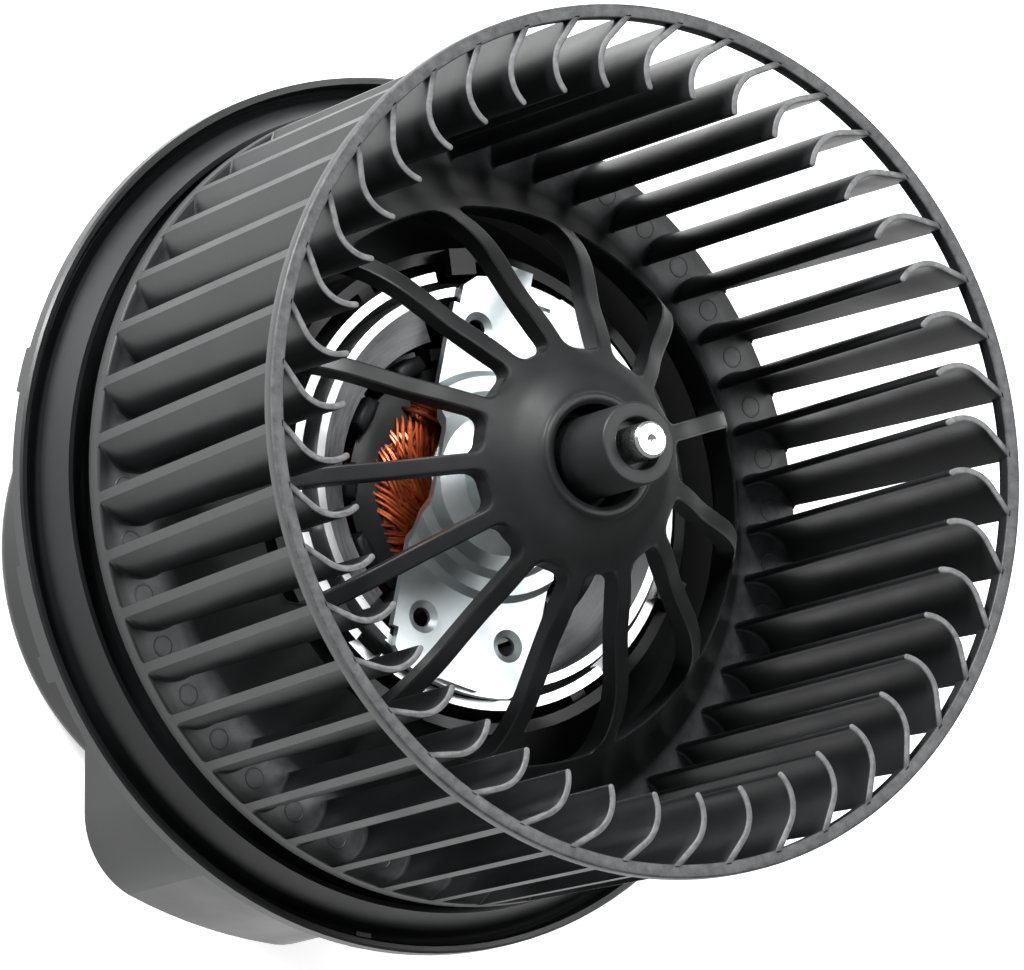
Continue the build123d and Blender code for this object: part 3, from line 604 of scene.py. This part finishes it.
def add_tube(shape, path, radius):
    """Round wire along a path that never runs back on itself."""
    loops = []
    for k, point in enumerate(path):
        before = Vector(path[max(0, k - 1)])
        after = Vector(path[min(len(path) - 1, k + 1)])
        along = (after - before).normalized()
        side = along.cross(Vector((0, 0, 1)))
        if side.length < 0.05:
            side = along.cross(Vector((0, 1, 0)))
        side.normalize()
        up = side.cross(along)
        circle = arc_points(0.0, 0.0, radius, 0, 360, WIRE_SIDES)[:-1]
        loops.append([tuple(Vector(point) + side * u + up * v) for u, v in circle])
    shape.loft(loops)


def overhang(start_az, lane, layer, level, rng):
    """One wire of a coil: out of a slot, across beside the shaft, into another slot."""
    stray = rng.uniform(-AZ_SCATTER, AZ_SCATTER)
    middle = math.radians(start_az + stray) + math.radians(COIL_THROW / 2)
    near = NEAR_R + lane * LANE_PITCH + rng.uniform(-LANE_SCATTER, LANE_SCATTER)
    reach = REACH + layer * LAYER_REACH + rng.uniform(-REACH_SCATTER, REACH_SCATTER)
    z_top = level + layer * LAYER_PITCH + rng.uniform(-RISE_SCATTER, RISE_SCATTER)
    span = math.sqrt(max(1.0, reach * reach - near * near))
    path = []
    for t in WIRE_STATIONS:
        x = near + BOW * math.cos(t * math.pi / 2)
        y = span * t
        z = z_top - (z_top - OVERHANG_Z) * abs(t) ** 6
        path.append((x * math.cos(middle) - y * math.sin(middle),
                     x * math.sin(middle) + y * math.cos(middle), z))
    return path


def add_front_wires(shape):
    """Overhangs of the twelve coils, laid one over another."""
    rng = random.Random(7)
    for coil in range(COILS):
        start = (coil + 0.5) * 360 / COILS
        for lane in range(LANES):
            for layer in range(LAYERS):
                path = overhang(start, lane, layer, FIRST_COIL_Z + COIL_STEP * coil, rng)
                add_tube(shape, path, WIRE_R)


def add_finger(shape, azimuth):
    """Upright end of the insulator at the tip of a tooth."""
    loops = []
    for z, shrink in FINGER_LEVELS:
        loop = [(FINGER_MIDDLE + (x - FINGER_MIDDLE) * (1 - shrink), y * (1 - shrink * 0.6), z)
                for x, y in FINGER_OUTLINE]
        loops.append(turn(loop, azimuth))
    shape.loft(loops)


def add_slot_bar(shape, azimuth):
    """Wires in a slot, between two teeth."""
    shape.loft([turn([(x, y, z) for x, y in SLOT_OUTLINE], azimuth) for z in SLOT_ENDS])


def make_wires():
    """Armature winding: wires and insulator in front, the rear bundle and the slots' wires behind."""
    wires, core, fingers, rear = Shape(), Shape(), Shape(), Shape()
    add_front_wires(wires)
    core.lathe(FRONT_CORE, CORE_SEGMENTS)
    rear.lathe(REAR_BUNDLE, CORE_SEGMENTS)
    for k in range(TEETH):
        add_finger(fingers, k * 360 / TEETH)
        add_slot_bar(rear, (k + 0.5) * 360 / TEETH)
    front = new_piece("front_wire_overhang", wires, "rotor")
    inner = new_piece("overhang_core", core, "rotor")
    guards = new_piece("insulator_fingers", fingers, "rotor")
    back = new_piece("rear_wire_overhang", rear, "rotor")
    for piece in (front, inner, guards, back):
        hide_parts("armature_windings")
    return {"copper_wire": [front, back], "insulator_plastic": [inner, guards]}


def make_brush_springs():
    """The two coil springs, copied with meshes of their own onto the stator; the real springs shorten as
    the brushes slide outwards.
    """
    springs = []
    for number in (1, 2):
        node = NODES[f"brush_spring_{number}"]
        coil = bpy.data.objects.new(f"brush_coil_{number}", node.data.copy())
        coil.matrix_world = node.matrix_world.copy()
        bpy.context.scene.collection.objects.link(coil)
        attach(coil, "stator")
        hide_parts(f"brush_spring_{number}")
        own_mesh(coil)
        springs.append(coil)
    return springs


# --- materials -----------------------------------------------------------------
class Look:
    """A material with a Principled shader, and short names for its nodes."""

    def __init__(self, name, color, rough, metal=0.0, spec=0.5):
        self.mat = bpy.data.materials.new(name)
        self.mat.use_nodes = True
        self.tree = self.mat.node_tree
        self.bsdf = self.tree.nodes["Principled BSDF"]
        self.bsdf.inputs["Base Color"].default_value = (*color, 1)
        self.bsdf.inputs["Roughness"].default_value = rough
        self.bsdf.inputs["Metallic"].default_value = metal
        self.bsdf.inputs["Specular IOR Level"].default_value = spec
        self.coords = self.tree.nodes.new("ShaderNodeTexCoord").outputs["Object"]

    def node(self, kind, **settings):
        node = self.tree.nodes.new(kind)
        for key, value in settings.items():
            setattr(node, key, value)
        return node

    def link(self, source, socket):
        self.tree.links.new(source, socket)

    def calc(self, operation, a, b=0.0):
        """Result of a sum on two values, which are sockets or numbers."""
        node = self.node("ShaderNodeMath", operation=operation)
        for value, socket in zip((a, b), node.inputs):
            if isinstance(value, (int, float)):
                socket.default_value = value
            else:
                self.link(value, socket)
        return node.outputs[0]

    def remap(self, value, start, end, low=0.0, high=1.0):
        """Value taken from one range to another, and held at its ends."""
        node = self.node("ShaderNodeMapRange")
        node.inputs["From Min"].default_value = start
        node.inputs["From Max"].default_value = end
        node.inputs["To Min"].default_value = low
        node.inputs["To Max"].default_value = high
        self.link(value, node.inputs["Value"])
        return node.outputs["Result"]

    def axes(self):
        """X, Y and Z of the point on the object."""
        node = self.node("ShaderNodeSeparateXYZ")
        self.link(self.coords, node.inputs[0])
        return node.outputs

    def radius(self):
        """Distance from the shaft's line."""
        x, y, _ = self.axes()
        flat = self.node("ShaderNodeCombineXYZ")
        self.link(x, flat.inputs[0])
        self.link(y, flat.inputs[1])
        length = self.node("ShaderNodeVectorMath", operation="LENGTH")
        self.link(flat.outputs[0], length.inputs[0])
        return length.outputs["Value"]

    def polar(self, radial, angular, height):
        """Radius, angle and height of the point, each times its own factor."""
        x, y, z = self.axes()
        out = self.node("ShaderNodeCombineXYZ")
        for source, factor, socket in ((self.radius(), radial, out.inputs[0]),
                                       (self.calc("ARCTAN2", y, x), angular, out.inputs[1]),
                                       (z, height, out.inputs[2])):
            self.link(self.calc("MULTIPLY", source, factor), socket)
        return out.outputs[0]

    def noise(self, vector, scale, detail=4.0, rough=0.55):
        node = self.node("ShaderNodeTexNoise")
        node.inputs["Scale"].default_value = scale
        node.inputs["Detail"].default_value = detail
        node.inputs["Roughness"].default_value = rough
        self.link(vector, node.inputs["Vector"])
        return node.outputs["Fac"]

    def ramp(self, value, start, dark, end, light):
        """Two colours, with a blend between two values."""
        node = self.node("ShaderNodeValToRGB")
        for element, place, color in zip(node.color_ramp.elements, (start, end), (dark, light)):
            element.position = place
            element.color = (*color, 1)
        self.link(value, node.inputs["Fac"])
        return node.outputs["Color"]

    def span(self, noise, low, high):
        """The middle half of a noise, stretched between two values."""
        return self.remap(noise, 0.25, 0.75, low, high)

    def mix(self, factor, a, b):
        """Colour between two colours, which are sockets or tuples."""
        node = self.node("ShaderNodeMix", data_type="RGBA")
        sockets = [s for s in node.inputs if s.enabled]
        self.link(factor, sockets[0])
        for value, socket in ((a, sockets[-2]), (b, sockets[-1])):
            if isinstance(value, tuple):
                socket.default_value = (*value, 1)
            else:
                self.link(value, socket)
        return [s for s in node.outputs if s.enabled][0]

    def ridge(self, value, low, high, soft):
        """One where a length is between two limits in millimetres, zero beyond a soft edge."""
        rise = self.remap(value, (low - soft) * MM, low * MM)
        fall = self.remap(value, high * MM, (high + soft) * MM, 1.0, 0.0)
        return self.calc("MULTIPLY", rise, fall)

    def band(self, r_in, r_out):
        """One between two radii."""
        return self.ridge(self.radius(), r_in, r_out, 1.5)

    def layer(self, low, high):
        """One between two heights."""
        return self.ridge(self.axes()[2], low, high, 0.1)

    def above(self, height, blur):
        """One above a height, zero below it."""
        return self.remap(self.axes()[2], (height - blur) * MM, (height + blur) * MM)

    def color(self, source):
        self.link(source, self.bsdf.inputs["Base Color"])

    def rough(self, source):
        self.link(source, self.bsdf.inputs["Roughness"])

    def bump(self, height, depth, strength):
        node = self.node("ShaderNodeBump")
        node.inputs["Strength"].default_value = strength
        node.inputs["Distance"].default_value = depth * MM
        self.link(height, node.inputs["Height"])
        self.link(node.outputs["Normal"], self.bsdf.inputs["Normal"])


def moulded(name, dark, light, rough, grain, depth, spec=0.3):
    """Moulded plastic: spark texture and faint flow clouds."""
    look = Look(name, dark, rough, spec=spec)
    clouds = look.noise(look.coords, 60.0, 3.0)
    look.color(look.ramp(clouds, 0.3, dark, 0.75, light))
    look.rough(look.span(clouds, rough - 0.05, rough + 0.08))
    look.bump(look.noise(look.coords, 0.5 / (grain * MM), 2.0, 0.6), depth, 0.7)
    return look.mat


def wheel_look():
    """Satin black wheel: pale on the front edges, with a painted highlight on the blade ends and a painted
    sheen on the ring's front face, and dusty on the rear plate between the blades.
    """
    dark, light = (0.008, 0.0085, 0.009), (0.016, 0.017, 0.018)
    look = Look("wheel_plastic", dark, 0.42, spec=0.35)
    clouds = look.noise(look.coords, 70.0, 4.0)
    base = look.ramp(clouds, 0.3, dark, 0.75, light)
    dust = look.ramp(look.noise(look.coords, 260.0, 5.0, 0.65),
                     0.3, (0.022, 0.024, 0.026), 0.75, (0.07, 0.075, 0.08))
    plate = look.calc("MULTIPLY", look.band(60.0, 67.8), look.layer(PLATE - 0.15, PLATE + 0.6))
    base = look.mix(plate, base, dust)
    # painted highlight: the blade ends are coloured paler, as where light catches their front edges
    blade_end_highlight = look.ramp(look.noise(look.coords, 700.0, 4.0),
                       0.3, (0.085, 0.088, 0.091), 0.7, (0.17, 0.174, 0.178))
    blade_ends = look.calc("MULTIPLY", look.above(MOUTH - 0.22, 0.12), look.band(58.0, 71.6))
    base = look.mix(blade_ends, base, blade_end_highlight)
    # painted sheen: the ring's front face is coloured paler, as where light glances off it
    ring_sheen = look.ramp(look.noise(look.coords, 420.0, 5.0, 0.7),
                     0.35, (0.03, 0.032, 0.034), 0.7, (0.09, 0.093, 0.097))
    ring_front = look.calc("MULTIPLY", look.above(MOUTH - 0.35, 0.1), look.band(RING_IN, 76.0))
    look.color(look.mix(ring_front, base, ring_sheen))
    look.rough(look.span(clouds, 0.36, 0.5))
    look.bump(look.noise(look.coords, 1500.0, 2.0, 0.6), 0.025, 0.6)
    return look.mat


def rolled(name, color, shade, rough, radial, angular, height):
    """Metal with fine lines, close together along the axes with large factors."""
    look = Look(name, color, rough, metal=1.0)
    lines = look.noise(look.polar(radial, angular, height), 1.0, 5.0, 0.6)
    spots = look.noise(look.coords, 160.0, 3.0)
    look.color(look.mix(look.span(spots, 0.0, 1.0), color, shade))
    look.rough(look.span(lines, rough - 0.05, rough + 0.0875))
    look.bump(lines, 0.008, 0.2)
    return look.mat


def plated(name, color, shade, rough):
    """Plated sheet: soft cloudy passivation and a fine satin grain."""
    look = Look(name, color, rough, metal=1.0)
    clouds = look.noise(look.coords, 90.0, 4.0)
    grain = look.noise(look.coords, 2700.0, 3.0, 0.6)
    look.color(look.ramp(clouds, 0.3, shade, 0.7, color))
    look.rough(look.span(grain, rough - 0.04, rough + 0.1))
    look.bump(grain, 0.012, 0.5)
    return look.mat


def magnet_look():
    """Ground ferrite: dark grey with streaks round the arc and small chips."""
    look = Look("ferrite", (0.12, 0.125, 0.13), 0.4, metal=0.15)
    streaks = look.noise(look.polar(1800, 6, 700), 1.0, 4.0, 0.6)
    look.color(look.ramp(streaks, 0.3, (0.07, 0.072, 0.077), 0.7, (0.22, 0.225, 0.235)))
    look.rough(look.span(streaks, 0.3, 0.5))
    look.bump(look.noise(look.coords, 900.0, 3.0, 0.7), 0.05, 0.5)
    return look.mat


def copper_look():
    """Enamelled copper wire."""
    look = Look("copper_wire", (0.5, 0.13, 0.045), 0.3, metal=0.85)
    patches = look.noise(look.coords, 300.0, 3.0)
    look.color(look.ramp(patches, 0.3, (0.26, 0.045, 0.014), 0.7, (0.6, 0.15, 0.045)))
    look.rough(look.span(patches, 0.22, 0.4))
    look.bump(look.noise(look.coords, 1400.0, 2.0), 0.02, 0.4)
    look.bsdf.inputs["Coat Weight"].default_value = 0.5
    look.bsdf.inputs["Coat Roughness"].default_value = 0.15
    return look.mat


def laminated():
    """Stack of thin sheets: fine lines across the shaft."""
    sheet = 0.5
    look = Look("laminations", (0.3, 0.3, 0.31), 0.45, metal=0.9)
    turns = look.calc("MULTIPLY", look.axes()[2], 2 * math.pi / (sheet * MM))
    rust = look.noise(look.coords, 220.0, 4.0)
    look.color(look.ramp(rust, 0.35, (0.2, 0.19, 0.185), 0.7, (0.36, 0.36, 0.37)))
    look.rough(look.span(rust, 0.35, 0.6))
    look.bump(look.calc("SINE", turns), 0.04, 0.6)
    return look.mat


def make_looks():
    """Material of each slot. Plastics: grain and its depth last; metals: line factors last."""
    return {
        "wheel_plastic": wheel_look(),
        "housing_plastic": moulded("housing_plastic", (0.007, 0.0075, 0.008), (0.012, 0.0125, 0.0135),
                                   0.34, 0.7, 0.012, 0.28),
        "insulator_plastic": moulded("insulator_plastic", (0.01, 0.011, 0.012), (0.02, 0.021, 0.023),
                                     0.42, 0.6, 0.02),
        "damper_rubber": moulded("damper_rubber", (0.016, 0.016, 0.016), (0.024, 0.024, 0.024),
                                 0.7, 0.4, 0.04),
        "carbon": moulded("carbon", (0.03, 0.03, 0.03), (0.05, 0.05, 0.052), 0.5, 0.3, 0.03),
        "shaft_steel": rolled("shaft_steel", (0.72, 0.72, 0.71), (0.6, 0.6, 0.6), 0.24, 200, 2, 5000),
        "bright_steel": rolled("bright_steel", (0.84, 0.85, 0.86), (0.66, 0.67, 0.68), 0.3, 2500, 3, 1800),
        "spring_steel": rolled("spring_steel", (0.5, 0.5, 0.5), (0.4, 0.4, 0.4), 0.3, 2000, 8, 2000),
        "zinc_plate": plated("zinc_plate", (0.8, 0.85, 0.865), (0.62, 0.69, 0.71), 0.38),
        "holder_brass": plated("holder_brass", (0.75, 0.56, 0.27), (0.6, 0.43, 0.2), 0.3),
        "sintered_bronze": plated("sintered_bronze", (0.5, 0.36, 0.2), (0.38, 0.27, 0.15), 0.45),
        "ferrite": magnet_look(),
        "copper_wire": copper_look(),
        "lamination_steel": laminated(),
    }


def set_look(obj, look):
    obj.data.materials.clear()
    obj.data.materials.append(look)


def paint(new_pieces):
    """Gives each CAD node and each new piece the look of its slot."""
    looks = make_looks()
    slots = {row["node"]: row["material_slot"] for row in frame["record"]["subparts"]}
    for name, obj in NODES.items():
        set_look(obj, looks[slots[name]])
    for slot, pieces in new_pieces.items():
        for obj in pieces:
            set_look(obj, looks[slot])


# --- put together --------------------------------------------------------------
make_camera()
make_floor()
make_lights()
new_pieces = {"wheel_plastic": make_fan_wheel(), **make_wires(), "spring_steel": make_brush_springs()}
paint(new_pieces)

bpy.context.view_layer.update()
